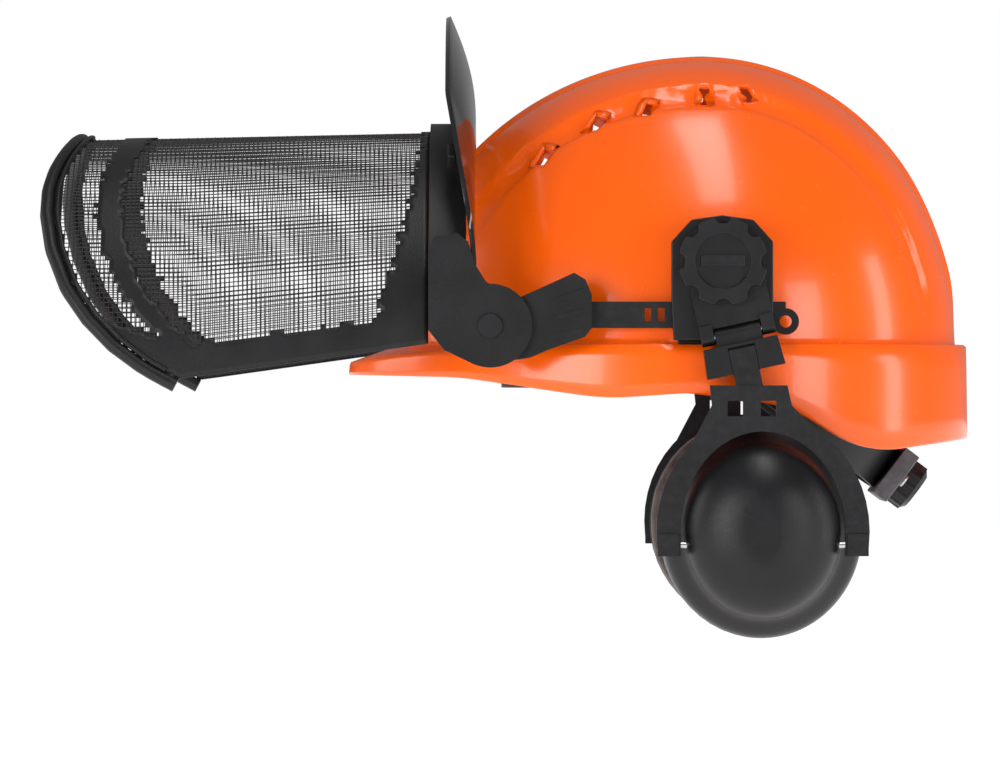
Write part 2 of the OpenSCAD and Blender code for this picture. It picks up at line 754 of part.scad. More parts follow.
// Ring cushion with a rounded section, resting on the back plate
module cushion(side) {
    count = 44;
    parts = 10;
    band = 17;
    x0 = cup_base - plate_t - 2 * seat_gap - cushion_t / 2;
    function section(i, j) = let (a = 360 * i / count, e = 360 * j / parts,
        mid_w = cup_half_w - band / 2 + 1, mid_h = cup_half_h - band / 2 + 1,
        r = band / 2 * squash(cos(e)))
        [x0 + cushion_t / 2 * squash(sin(e)), cup_y + (mid_w + r) * cos(a),
            cup_z + (mid_h + r) * sin(a)];
    color(brown) both(side) polyhedron(
        [for (i = [0 : count - 1]) for (j = [0 : parts - 1]) section(i, j)],
        [for (i = [0 : count - 1]) for (j = [0 : parts - 1])
            let (a = i * parts + j, b = i * parts + (j + 1) % parts,
                c = ((i + 1) % count) * parts + j, d = ((i + 1) % count) * parts + (j + 1) % parts)
            each [[a, b, c], [b, d, c]]],
        convexity = 6);
}
function squash(v) = sign(v) * pow(abs(v), 0.7);

shell();
headband();
sweatband();
crown_straps();
crown_pad();
strap_anchors();
nape_strap();
nape_pad();
ratchet_housing();
ratchet_pinion();
ratchet_knob();
nape_rivets();
strap(1);  // left_strap
strap(-1);  // right_strap
bracket(1);  // left_bracket
bracket(-1);  // right_bracket
adapter(1);  // left_adapter
adapter(-1);  // right_adapter
visor_frame();
visor_screen();
visor_rim();
visor_stripe();
visor_borders();
brim_shield();
shield_clips();
pivot_pins();
knob(1);  // left_knob
knob(-1);  // right_knob
arm(1);  // left_arm
arm(-1);  // right_arm
block(1);  // left_block
block(-1);  // right_block
hinge_pin(1);  // left_hinge_pin
hinge_pin(-1);  // right_hinge_pin
yoke(1);  // left_yoke
yoke(-1);  // right_yoke
cup(1);  // left_cup
cup(-1);  // right_cup
cup_pins(1);  // left_cup_pins
cup_pins(-1);  // right_cup_pins
back_plate(1);  // left_back_plate
back_plate(-1);  // right_back_plate
foam(1);  // left_foam
foam(-1);  // right_foam
cushion(1);  // left_cushion
cushion(-1);  // right_cushion
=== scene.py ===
"""A vented safety helmet with a mesh visor and ear muffs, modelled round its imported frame."""
import json
import math

import bmesh
import bpy
from mathutils import Matrix, Vector, noise


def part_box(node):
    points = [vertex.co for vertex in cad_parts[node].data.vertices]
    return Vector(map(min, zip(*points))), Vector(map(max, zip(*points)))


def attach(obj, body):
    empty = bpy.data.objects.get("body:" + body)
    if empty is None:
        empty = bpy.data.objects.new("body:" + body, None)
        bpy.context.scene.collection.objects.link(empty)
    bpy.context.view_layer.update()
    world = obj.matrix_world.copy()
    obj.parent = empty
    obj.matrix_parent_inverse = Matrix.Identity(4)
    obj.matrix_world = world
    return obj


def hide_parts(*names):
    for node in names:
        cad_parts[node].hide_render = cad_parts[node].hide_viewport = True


bl_info = {
    "name": "Safety helmet",
    "version": (1, 0, 0),
    "blender": (4, 5, 0),
    "location": "View3D > Sidebar > Helmet",
    "description": "Builds the helmet's shell, visor, ear muffs and harness round its frame",
    "category": "Object",
}

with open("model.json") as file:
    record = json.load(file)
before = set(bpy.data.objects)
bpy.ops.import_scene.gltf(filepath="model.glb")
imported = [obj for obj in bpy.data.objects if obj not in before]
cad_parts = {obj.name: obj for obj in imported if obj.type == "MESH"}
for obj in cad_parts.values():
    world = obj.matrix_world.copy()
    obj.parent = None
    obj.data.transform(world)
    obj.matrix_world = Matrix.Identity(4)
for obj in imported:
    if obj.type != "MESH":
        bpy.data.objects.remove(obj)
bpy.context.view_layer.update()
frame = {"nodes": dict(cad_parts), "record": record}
BODIES = frame["record"]["behaviour"]["bodies"]
BODY_OF = {node: body for body, nodes in BODIES.items() for node in nodes}
SIDES = ("left", "right")
MM = 0.001


# ---- Shader maths ---------------------------------------------------------

# Where a mix node keeps its two colours and their mix
MIX_FIRST, MIX_SECOND, MIX_RESULT = 6, 7, 2


class Value:
    """A shader socket that takes part in arithmetic."""

    def __init__(self, shade, socket):
        self.shade = shade
        self.socket = socket

    def math(self, operation, *others):
        return self.shade.node("ShaderNodeMath", {"operation": operation}, [self, *others])

    def __add__(self, other):
        return self.math("ADD", other)

    __radd__ = __add__

    def __mul__(self, other):
        return self.math("MULTIPLY", other)

    def __sub__(self, other):
        return self.math("SUBTRACT", other)

    def __rsub__(self, other):
        return self.shade.node("ShaderNodeMath", {"operation": "SUBTRACT"}, [other, self])

    def over(self, low, high):
        """0 below low, 1 above high, smooth between."""
        settings = {"interpolation_type": "SMOOTHSTEP"}
        inputs = {"Value": self, "From Min": low, "From Max": high}
        return self.shade.node("ShaderNodeMapRange", settings, inputs)


class Shade:
    """One material, with short ways to add nodes and to join them."""

    def __init__(self, name, color, roughness, **sockets):
        self.material = bpy.data.materials.new(name)
        self.material.use_nodes = True
        self.tree = self.material.node_tree
        self.bsdf = self.tree.nodes["Principled BSDF"]
        self.set("Base Color", (*color, 1))
        self.set("Roughness", roughness)
        for socket, value in sockets.items():
            self.set(socket.replace("_", " "), value)
        coords = self.tree.nodes.new("ShaderNodeTexCoord")
        self.at = Value(self, coords.outputs["Object"])

    def plug(self, socket, value):
        if isinstance(value, Value):
            self.tree.links.new(value.socket, socket)
        else:
            socket.default_value = value

    def set(self, name, value):
        self.plug(self.bsdf.inputs[name], value)

    def node(self, kind, settings=None, inputs=(), output=0):
        made = self.tree.nodes.new(kind)
        for key, value in (settings or {}).items():
            setattr(made, key, value)
        pairs = inputs.items() if isinstance(inputs, dict) else enumerate(inputs)
        for key, value in pairs:
            self.plug(made.inputs[key], value)
        return Value(self, made.outputs[output])

    def noise(self, scale, detail=2.0, rough=0.5):
        inputs = {"Vector": self.at, "Scale": scale, "Detail": detail, "Roughness": rough}
        return self.node("ShaderNodeTexNoise", None, inputs)

    def cells(self, scale):
        return self.node("ShaderNodeTexVoronoi", None, {"Vector": self.at, "Scale": scale})

    def mix(self, factor, first, second):
        inputs = {"Factor": factor, MIX_FIRST: first, MIX_SECOND: second}
        return self.node("ShaderNodeMix", {"data_type": "RGBA"}, inputs, MIX_RESULT)

    def bump(self, height, strength, distance):
        inputs = {"Height": height, "Strength": strength, "Distance": distance}
        self.set("Normal", self.node("ShaderNodeBump", None, inputs))

    def edges(self):
        """A mask of worn convex edges."""
        return self.node("ShaderNodeNewGeometry", None, (), "Pointiness").over(0.52, 0.6)


def shade_of(color, factor):
    return tuple(min(1.0, c * factor) for c in color[:3]) + (1,)


def orange_plastic(colors):
    shade = Shade("orange_shell", colors.shell, 0.2, Coat_Weight=0.15, Coat_Roughness=0.05,
                  Specular_IOR_Level=0.4)
    mottle = shade.noise(14, 3).over(0.35, 0.7)
    shade.set("Base Color", shade.mix(mottle, shade_of(colors.shell, 0.96), shade_of(colors.shell, 1)))
    scuffs = shade.noise(160, 6, 0.7).over(0.6, 0.75)
    shade.set("Roughness", 0.2 + scuffs * 0.1 + shade.noise(40, 2) * 0.05)
    shade.bump(shade.noise(420, 1) + shade.noise(60, 2) * 0.6, 0.05, 0.0006)
    return shade.material


def moulded_plastic(name, color, roughness, grain=1500, wear=0.35):
    """Grained black plastic, paler where its edges are worn."""
    shade = Shade(name, color, roughness, Specular_IOR_Level=0.3)
    cloud = shade.noise(45, 4).over(0.3, 0.75)
    base = shade.mix(cloud, shade_of(color, 0.85), shade_of(color, 1.35))
    worn = shade.edges() * shade.noise(260, 3).over(0.4, 0.7) * wear
    shade.set("Base Color", shade.mix(worn, base, shade_of(color, 3.2)))
    shade.set("Roughness", roughness + cloud * 0.08 + shade.noise(300, 3) * 0.06 - 0.06)
    shade.bump(shade.cells(grain) + shade.noise(grain * 0.6, 2), 0.16, 0.0003)
    return shade.material


def gloss_black_plastic(colors):
    shade = Shade("gloss_black", colors.black, 0.12, Coat_Weight=0.5, Coat_Roughness=0.04)
    smears = shade.noise(35, 4).over(0.4, 0.8)
    shade.set("Base Color", shade.mix(smears, shade_of(colors.black, 0.8), shade_of(colors.black, 1.2)))
    shade.set("Roughness", 0.11 + smears * 0.1)
    shade.bump(shade.noise(180, 2), 0.04, 0.0005)
    return shade.material


def leatherette(colors):
    shade = Shade("soft_brown", colors.cushion, 0.55, Sheen_Weight=0.25, Sheen_Roughness=0.5)
    pores = shade.cells(900)
    folds = shade.noise(120, 4)
    # Colour follows the folds' relief: painted shade in the creases, lighter on the raised parts.
    fold_shade = folds.over(0.35, 0.7)
    dark, pale = shade_of(colors.cushion, 0.7), shade_of(colors.cushion, 1.5)
    shade.set("Base Color", shade.mix(fold_shade, dark, pale))
    shade.set("Roughness", 0.48 + pores * 0.2)
    shade.bump(pores * 0.7 + folds * 1.4, 0.4, 0.0006)
    return shade.material


def webbing(colors):
    """Woven tape: two crossing sets of ribs on the piece's own map."""
    shade = Shade("webbing", colors.webbing, 0.8, Sheen_Weight=0.4)
    shade.at = shade.node("ShaderNodeUVMap", {"uv_map": "UVMap"})
    warp = shade.node("ShaderNodeTexWave", {"bands_direction": "X"}, {"Vector": shade.at, "Scale": 160})
    weft = shade.node("ShaderNodeTexWave", {"bands_direction": "Y"}, {"Vector": shade.at, "Scale": 160})
    weave = warp * weft
    dark, pale = shade_of(colors.webbing, 0.5), shade_of(colors.webbing, 1.6)
    # Painted shade between the woven ribs: darker where the weave's relief is low, lighter on the ribs.
    shade.set("Base Color", shade.mix(weave, dark, pale))
    shade.set("Roughness", 0.7 + weave * 0.2)
    shade.bump(weave, 0.6, 0.0005)
    return shade.material


def open_foam(colors):
    shade = Shade("foam_grey", colors.foam, 0.95)
    holes = shade.cells(620)
    # Painted shade in the pores: darker where the cells' relief is low, lighter on their tops.
    shade.set("Base Color", shade.mix(holes, shade_of(colors.foam, 1.6), shade_of(colors.foam, 0.3)))
    shade.set("Roughness", 0.85 + holes * 0.15)
    shade.bump(1 - holes, 0.7, 0.001)
    return shade.material


def metal(name, color, roughness):
    shade = Shade(name, color, roughness, Metallic=1.0)
    brushed = shade.noise(700, 4)
    shade.set("Base Color", shade.mix(brushed, shade_of(color, 0.8), shade_of(color, 1.15)))
    shade.set("Roughness", roughness + brushed * 0.2 - 0.1)
    shade.bump(brushed, 0.1, 0.0002)
    return shade.material


def wire_coat(color):
    shade = Shade("mesh_black", color, 0.42)
    speckle = shade.noise(2200, 2)
    shade.set("Base Color", shade.mix(speckle, shade_of(color, 0.6), shade_of(color, 1.9)))
    shade.set("Roughness", 0.35 + speckle * 0.2)
    shade.bump(speckle, 0.1, 0.0001)
    return shade.material


MATERIALS = {}


def make_materials(colors):
    MATERIALS.update({
        "orange_shell": orange_plastic(colors),
        "black_plastic": moulded_plastic("black_plastic", colors.black, 0.44),
        "cup_black": moulded_plastic("cup_black", colors.cup, 0.36, 2400, 0.1),
        "gloss_black": gloss_black_plastic(colors),
        "grey_plastic": moulded_plastic("grey_plastic", colors.grey, 0.5),
        "soft_brown": leatherette(colors),
        "webbing": webbing(colors),
        "mesh_black": wire_coat(colors.black),
        "foam_grey": open_foam(colors),
        "steel": metal("steel", colors.steel, 0.32),
    })


# ---- Mesh helpers ---------------------------------------------------------

WELD = 2e-5          # points closer than this, in metres, become one
FLAT_ANGLE = 0.5     # faces that meet at less than this, in degrees, become one
BEVEL_ANGLE = 32     # edges that turn more than this are rounded over
SHARP_ANGLE = 38     # edges that still turn more than this are shaded sharp
CREASE = 0.8
SLOT_OF = {part["node"]: part["material_slot"] for part in frame["record"]["subparts"]}


def finish_piece(piece, node, others=(), slot=None, body=None):
    """Gives a piece its finish, its body and the nodes that it stands for."""
    slot = slot or SLOT_OF[node]
    piece.data.materials.clear()
    piece.data.materials.append(MATERIALS[slot])
    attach(piece, body or BODY_OF[node])
    if node:
        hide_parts(node, *others)
    return piece


def linked(data, name):
    """An object in the scene with the given data."""
    made = bpy.data.objects.new(name, data)
    bpy.context.scene.collection.objects.link(made)
    return made


def smooth_piece(mesh, name):
    for face in mesh.polygons:
        face.use_smooth = True
    return linked(mesh, name)


def object_from(bm, name):
    mesh = bpy.data.meshes.new(name)
    bm.to_mesh(mesh)
    bm.free()
    return smooth_piece(mesh, name)


def modifier(piece, kind, **settings):
    made = piece.modifiers.new(kind.title(), kind)
    for key, value in settings.items():
        setattr(made, key, value)
    return made


def applied(piece):
    """Turns the piece's modifiers into its mesh."""
    graph = bpy.context.evaluated_depsgraph_get()
    mesh = bpy.data.meshes.new_from_object(piece.evaluated_get(graph))
    piece.modifiers.clear()
    old = piece.data
    piece.data = mesh
    bpy.data.meshes.remove(old)
    return piece


def welded_copy(node):
    """A CAD node's mesh in place, with its points joined."""
    bm = bmesh.new()
    bm.from_mesh(frame["nodes"][node].data)
    bm.transform(frame["nodes"][node].matrix_world)
    bmesh.ops.remove_doubles(bm, verts=bm.verts, dist=WELD)
    return bm


def rounded(node, width, segments=3):
    """A CAD node with its hard edges rounded over."""
    bm = welded_copy(node)
    flat = math.radians(FLAT_ANGLE)
    bmesh.ops.dissolve_limit(bm, angle_limit=flat, verts=bm.verts, edges=bm.edges)
    piece = object_from(bm, node + "_body")
    modifier(piece, "BEVEL", width=width * MM, segments=segments, limit_method="ANGLE",
             angle_limit=math.radians(BEVEL_ANGLE), use_clamp_overlap=True, harden_normals=False)
    applied(piece)
    piece.data.shade_smooth()
    bm = bmesh.new()
    bm.from_mesh(piece.data)
    for edge in bm.edges:
        edge.smooth = not (edge.is_manifold and edge.calc_face_angle(0) > math.radians(SHARP_ANGLE))
    bm.to_mesh(piece.data)
    bm.free()
    modifier(piece, "WEIGHTED_NORMAL", keep_sharp=True)
    return finish_piece(piece, node)


def smooth_copy(node, levels, crease_angle):
    """A subdivided copy of a faceted CAD node, creased along its sharp edges."""
    bm = welded_copy(node)
    bmesh.ops.join_triangles(bm, faces=bm.faces, angle_face_threshold=math.radians(25),
                             angle_shape_threshold=math.radians(45))
    crease = bm.edges.layers.float.new("crease_edge")
    for edge in bm.edges:
        if edge.is_manifold and edge.calc_face_angle(0) > math.radians(crease_angle):
            edge[crease] = CREASE
    piece = object_from(bm, node + "_body")
    modifier(piece, "SUBSURF", levels=levels, render_levels=levels)
    return applied(piece)


def grid_piece(name, across, along, place, thickness=0.0, uv_size=(1, 1)):
    """A sheet of across by along cells, put in place by place(s, t) with s and t from 0 to 1."""
    bm = bmesh.new()
    uv = bm.loops.layers.uv.new("UVMap")
    bmesh.ops.create_grid(bm, x_segments=across, y_segments=along, size=0.5)
    for face in bm.faces:
        for loop in face.loops:
            s, t = loop.vert.co.x + 0.5, loop.vert.co.y + 0.5
            loop[uv].uv = (s * uv_size[0], t * uv_size[1])
    for vert in bm.verts:
        vert.co = Vector(place(vert.co.x + 0.5, vert.co.y + 0.5))
    piece = object_from(bm, name)
    if thickness:
        modifier(piece, "SOLIDIFY", thickness=thickness, offset=0.0)
        modifier(piece, "BEVEL", width=thickness * 0.3, segments=2, limit_method="ANGLE",
                 angle_limit=math.radians(50))
    return piece


def smooth_step(value, low, high):
    t = min(1.0, max(0.0, (value - low) / (high - low)))
    return t * t * (3 - 2 * t)


# ---- Shell ----------------------------------------------------------------

# All in mm. Each pair is where a step begins and where it ends
VENT_Y = (-80, -56, -32, -5, 15)
VENT_RAMP = (24, 9)
VENT_RISE = (9, 4)
VENT_DEPTH = 1.3
GROOVE_INNER = (46.5, 48.3)
GROOVE_OUTER = (54.0, 56.5)
RIDGE_EDGE = (8.5, 11.5)
ABOVE_LEDGE = (6, 34)


def crown_rise(sizes, x, y, z):
    """How far the crown stands out at a point, in mm: its ridge, its grooves and the vents' ramps."""
    wide, along = abs(x) / MM, y / MM
    height = smooth_step(z, *((sizes.ledge_z + above) * MM for above in ABOVE_LEDGE))
    in_groove = smooth_step(wide, *GROOVE_INNER) * (1 - smooth_step(wide, *GROOVE_OUTER))
    ridge = 1 - smooth_step(wide, *RIDGE_EDGE)
    ramp = max(smooth_step(along, *(vent - ahead for ahead in VENT_RAMP))
               * (1 - smooth_step(along, *(vent - ahead for ahead in VENT_RISE))) for vent in VENT_Y)
    return (sizes.ridge * ridge - (sizes.groove + VENT_DEPTH * ramp) * in_groove) * height


def build_shell(sizes):
    """The shell with its crown ridge, its grooves and its vents."""
    piece = smooth_copy("shell", 2, 32)
    mesh = piece.data
    normals = [v.normal.copy() for v in mesh.vertices]
    ledge = sizes.ledge_z * MM
    for vert, normal in zip(mesh.vertices, normals):
        outward = 1 if normal.dot(Vector((vert.co.x, vert.co.y, vert.co.z - ledge))) > 0 else -1
        vert.co += normal * outward * crown_rise(sizes, *vert.co) * MM
    piece.data.update()
    return finish_piece(piece, "shell")


# ---- Visor ----------------------------------------------------------------

# Turn in degrees, and the rim's distance ahead of the pivot in mm before scaling
RIM_STATIONS = ((0, 138), (4, 152), (9, 165), (15, 176), (22, 185), (32, 192), (42, 195), (50, 195),
                (58, 193), (66, 190), (74, 187), (82, 185), (90, 184))
SCREEN_SIDE = 142    # length of the screen's side edge, in mm
RIM_SCALE = SCREEN_SIDE / 139
SCREEN_START = 28.3  # where the screen leaves the frame, ahead of the pivot
SCREEN_DROP = 4
SCREEN_FALL = 20
SCREEN_TAPER = 4
RIM_TUCK = 1.5       # how far the wires run into the rim's bead
WIRE_OUT = 0.25
CROSS_OUT = 0.55
WEAVE = 0.12
STRIPE = (31, 19)    # the stripe's two edges, back from the rim
FRAME_BORDER = 31    # where the border along the frame ends, ahead of the pivot
CORNER_BORDER = 26   # how much wider that border is towards the ears
RIM_BORDER = 2.0
SIDE_BORDER = 7.5    # in degrees of turn
SHIELD_T = 2.2
SHIELD_LOW = 42
SHIELD_FLARE = 11.5


def rim_h(turn):
    """Distance of the screen's rim ahead of the pivot, at a turn of 0 to 180 degrees."""
    turn = min(turn, 180 - turn)
    for (a, low), (b, high) in zip(RIM_STATIONS, RIM_STATIONS[1:]):
        if turn <= b:
            return (low + (high - low) * (turn - a) / (b - a)) * RIM_SCALE
    return RIM_STATIONS[-1][1] * RIM_SCALE


def screen_point(sizes, turn, h, out):
    """A point on the screen: turn round it in degrees, h ahead of the pivot and out from it in mm."""
    base = -SCREEN_DROP - SCREEN_FALL * min(1, h / SCREEN_SIDE)
    reach = sizes.screen_reach - SCREEN_TAPER * h / rim_h(90)
    return Vector((
        (sizes.screen_half_w + out) * math.cos(math.radians(turn)),
        -sizes.pivot_fwd - h,
        sizes.pivot_z + base + (reach - base + out) * math.sin(math.radians(turn)),
    )) * MM


def wire_object(name, paths, radius, sides=0):
    """Round wires along paths of points, as one mesh."""
    curve = bpy.data.curves.new(name, "CURVE")
    curve.dimensions = "3D"
    curve.bevel_depth = radius
    curve.bevel_resolution = sides
    curve.use_fill_caps = True
    for path in paths:
        spline = curve.splines.new("POLY")
        spline.points.add(len(path) - 1)
        for point, place in zip(spline.points, path):
            point.co = (*place, 1)
    carrier = linked(curve, name + "_path")
    graph = bpy.context.evaluated_depsgraph_get()
    mesh = bpy.data.meshes.new_from_object(carrier.evaluated_get(graph))
    bpy.data.objects.remove(carrier)
    return smooth_piece(mesh, name)


def build_screen(sizes):
    """The screen's wires, lengthwise and crosswise, the crosswise set outside the lengthwise one and
    every other wire of each set a little further out.
    """
    columns = int(round(sizes.screen_wires))
    turns = [180 * k / columns for k in range(columns + 1)]
    start = SCREEN_START
    rows = int((199 - start) / sizes.wire_pitch)
    paths = []
    for index, turn in enumerate(turns):
        end = rim_h(turn) + RIM_TUCK
        steps = max(8, int((end - start) / 8))
        out = WIRE_OUT + WEAVE * (index % 2)
        paths.append([screen_point(sizes, turn, start + (end - start) * k / steps, out)
                      for k in range(steps + 1)])
    for row in range(rows + 1):
        h = start + row * sizes.wire_pitch
        inside = [t for t in turns if rim_h(t) >= h]
        runs = [[]]
        for t in inside:
            if runs[-1] and t - runs[-1][-1] > 200 / columns:
                runs.append([])
            runs[-1].append(t)
        out = CROSS_OUT - WEAVE * (row % 2)
        for run in runs:
            if len(run) > 3:
                paths.append([screen_point(sizes, t, h, out) for t in run[::2] + run[-1:]])
    piece = wire_object("screen_wires", paths, sizes.wire_d / 2 * MM)
    return finish_piece(piece, "visor_screen")


def is_printed(turn, h):
    """Where the screen's cells are closed by the moulded borders."""
    side = min(turn, 180 - turn)
    rim = rim_h(turn)
    waver = 2.2 * math.sin(turn * 1.7) + 1.6 * math.sin(turn * 4.1 + 1)
    stripe = rim - STRIPE[0] + 0.4 * waver < h < rim - STRIPE[1] + 0.2 * waver
    widening = CORNER_BORDER * (1 - math.sin(math.radians(turn))) ** 1.3
    at_frame = h < FRAME_BORDER + 0.5 * waver + widening
    at_rim = h > rim - RIM_BORDER
    at_side = side < SIDE_BORDER + 0.5 * math.sin(h * 0.21) + 0.4 * math.sin(h * 0.6)
    corner = side < 24 and h > rim - STRIPE[1] and side < 9 + 0.3 * (h - rim + STRIPE[1])
    return stripe or at_frame or at_rim or at_side or corner


def build_borders(sizes):
    """The moulded borders and the stripe, which end in steps along the screen's cells."""
    columns = int(round(sizes.screen_wires))
    rows = int((202 - SCREEN_START) / sizes.wire_pitch)
    bm = bmesh.new()
    bmesh.ops.create_grid(bm, x_segments=columns, y_segments=rows, size=0.5)
    open_faces = []
    for face in bm.faces:
        middle = face.calc_center_median()
        turn = (middle.x + 0.5) * 180
        h = SCREEN_START + (middle.y + 0.5) * rows * sizes.wire_pitch
        if h > rim_h(turn) + RIM_TUCK or not is_printed(turn, h):
            open_faces.append(face)
    bmesh.ops.delete(bm, geom=open_faces, context="FACES")
    for vert in bm.verts:
        turn = (vert.co.x + 0.5) * 180
        h = SCREEN_START + (vert.co.y + 0.5) * rows * sizes.wire_pitch
        vert.co = screen_point(sizes, turn, min(h, rim_h(turn) + 2), 0.9)
    piece = object_from(bm, "screen_borders")
    modifier(piece, "SOLIDIFY", thickness=0.7 * MM, offset=0.0)
    return finish_piece(piece, "visor_stripe", ("visor_borders",))


def build_rim(sizes):
    """The moulded bead round the screen's free edge, with a lip along its inner side."""
    steps = 120
    edge = [screen_point(sizes, 180 * k / steps, rim_h(180 * k / steps), 0.5) for k in range(steps + 1)]
    bead = []
    for k, point in enumerate(edge):
        along = (edge[min(k + 1, steps)] - edge[max(k - 1, 0)]).normalized()
        out = along.cross(Vector((0, 1, 0))).normalized()
        bead.append(point - out.cross(along) * (sizes.bead_r + 0.4) * MM)
    piece = wire_object("rim_bead", [bead], sizes.bead_r * MM, 5)
    lip = [screen_point(sizes, 2 + 176 * k / steps, rim_h(2 + 176 * k / steps) - 1.2, 1.9)
           for k in range(steps + 1)]
    lip_piece = wire_object("rim_lip", [lip], 1.1 * MM, 3)
    finish_piece(lip_piece, None, slot="black_plastic", body="visor")
    return finish_piece(piece, "visor_rim")


def build_shield(sizes):
    """The glossy brim shield: a dished crescent over the frame's arch."""
    def place(s, t):
        turn = math.radians(180 * s)
        outer = Vector(((sizes.frame_half_w + 1.5) * math.cos(turn),
                        SHIELD_LOW + (sizes.shield_reach - SHIELD_LOW) * math.sin(turn)))
        inner = Vector(((sizes.frame_half_w + 0.2) * math.cos(turn),
                        -6.9 + (sizes.frame_reach + 7.1) * math.sin(turn)))
        inner.y = min(inner.y, outer.y - 0.2)
        point = inner.lerp(outer, t)
        flare = (SHIELD_FLARE * (t ** 1.5) * min(1, 1.6 * math.sin(turn))
                 - 1.5 * math.sin(math.pi * t))
        return Vector((point.x, -sizes.pivot_fwd - 8.2 - flare, sizes.pivot_z + point.y)) * MM
    piece = grid_piece("brim_shield_plate", 96, 14, place, SHIELD_T * MM)
    return finish_piece(piece, "brim_shield")


# ---- Soft pieces ----------------------------------------------------------

PUFF_CELL = 4
PUFF_PRESSURE = 4
PUFF_FRAMES = 20
PUFF_CAP = 1.2


def puff(piece, cap):
    """Swells a closed soft shape by cloth simulation; no point moves further than cap."""
    modifier(piece, "REMESH", mode="VOXEL", voxel_size=PUFF_CELL * MM)
    applied(piece)
    rest = [v.co.copy() for v in piece.data.vertices]
    cloth = modifier(piece, "CLOTH")
    cloth.settings.use_pressure = True
    cloth.settings.uniform_pressure_force = PUFF_PRESSURE
    cloth.settings.effector_weights.gravity = 0
    scene = bpy.context.scene
    for number in range(1, PUFF_FRAMES + 1):
        scene.frame_set(number)
    applied(piece)
    scene.frame_set(1)
    for vert, start in zip(piece.data.vertices, rest):
        move = vert.co - start
        if move.length > cap:
            vert.co = start + move.normalized() * cap


def build_cushion(name):
    """The ear cushion: a swollen ring with fine creases."""
    node = name + "_cushion"
    low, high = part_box(node)
    piece = smooth_copy(node, 1, 80)
    puff(piece, PUFF_CAP * MM)
    modifier(piece, "SUBSURF", levels=1, render_levels=1)
    applied(piece)
    middle = Vector([(a + b) / 2 for a, b in zip(low, high)])
    side = 1 if middle.x > 0 else -1
    for vert in piece.data.vertices:
        out = vert.co - middle
        turn = math.atan2(out.z, out.y)
        face = 1 - smooth_step(side * out.x, -0.006, 0.002)
        crease = 0.35 * MM * math.sin(turn * 23 + 3 * noise.noise(vert.co * 60)) * face
        vert.co += vert.normal * crease
    piece.data.shade_smooth()
    piece.name = name + "_cushion_pad"
    finish_piece(piece, node)


def build_foam(name):
    """Open foam inside the cup, pillowed at its middle."""
    node = name + "_foam"
    low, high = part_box(node)
    middle = [(a + b) / 2 for a, b in zip(low, high)]
    bm = bmesh.new()
    bmesh.ops.create_uvsphere(bm, u_segments=48, v_segments=24, radius=1)
    for vert in bm.verts:
        x, y, z = (math.copysign(abs(c) ** 0.6, c) for c in vert.co)
        size = max(1.0, math.hypot(y, z))
        vert.co = Vector((middle[0] + x * (high[0] - low[0]) / 2,
                          middle[1] + y / size * (high[1] - low[1]) / 2,
                          middle[2] + z / size * (high[2] - low[2]) / 2))
    piece = object_from(bm, name + "_foam_pad")
    finish_piece(piece, node)


def oval_reach(turn, half_w, half_l):
    return half_w * half_l / math.hypot(half_l * math.cos(turn), half_w * math.sin(turn))


TAPE_W = 19
TAPE_T = 1.1
TAPE_LENGTH = 0.33   # in metres, along a tape's map


def build_crown_straps(sizes):
    """Three woven tapes crossing over the head."""
    low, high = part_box("crown_straps")
    for index, degrees in enumerate((30, 90, 150)):
        turn = math.radians(degrees)
        half = oval_reach(turn, sizes.band_half_w + 0.15, sizes.band_half_l + 0.15) * MM + 3 * MM
        along = Vector((math.cos(turn), math.sin(turn), 0))
        across = Vector((-math.sin(turn), math.cos(turn), 0))

        def place(s, t, half=half, along=along, across=across):
            angle = math.pi * s
            rise = low[2] + (high[2] - low[2] - 0.8 * MM) * math.sin(angle)
            sideways = across * TAPE_W * MM * (t - 0.5)
            return along * (half + 0.6 * MM) * math.cos(angle) + sideways + Vector((0, 0, rise))
        piece = grid_piece(f"crown_strap_{index}", 96, 6, place, TAPE_T * MM,
                           (TAPE_LENGTH, TAPE_W * MM))
        finish_piece(piece, "crown_straps")


def build_pad(node, name, across, along, place, thickness):
    piece = grid_piece(name, across, along, place)
    modifier(piece, "SOLIDIFY", thickness=thickness, offset=0.0)
    modifier(piece, "SUBSURF", levels=2, render_levels=2)
    applied(piece)
    piece.data.shade_smooth()
    finish_piece(piece, node)
    return piece


PAD_T = 2.6
NAPE_PAD_T = 3


def build_sweatband():
    low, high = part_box("sweatband")
    half_w, half_l = (high[0] - low[0]) / 2 - 1.6 * MM, -low[1] - 1.6 * MM

    def place(s, t):
        turn = math.pi + math.pi * (0.01 + 0.98 * s)
        dimple = 0.5 * MM * math.sin(s * 70) * math.sin(t * 9)
        return Vector(((half_w + dimple) * math.cos(turn), (half_l + dimple) * math.sin(turn),
                       low[2] + (high[2] - low[2]) * (0.06 + 0.88 * t)))
    return build_pad("sweatband", "sweatband_pad", 90, 8, place, PAD_T * MM)


def build_crown_pad():
    low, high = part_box("crown_pad")
    radius = (high[0] - low[0]) / 2 * 0.94
    middle = (low[2] + high[2]) / 2

    def place(s, t):
        u, v = 2 * s - 1, 2 * t - 1
        x = u * math.sqrt(1 - v * v / 2)
        y = v * math.sqrt(1 - u * u / 2)
        return Vector((radius * x, radius * y, middle - 0.7 * MM * (x * x + y * y)))
    return build_pad("crown_pad", "crown_pad_soft", 12, 12, place, PAD_T * MM)


NAPE_START = Vector((0, 22, 9))
NAPE_HALF = (66.6, 70.8)
NAPE_FROM, NAPE_SWEEP = 58, 64
NAPE_H = 18


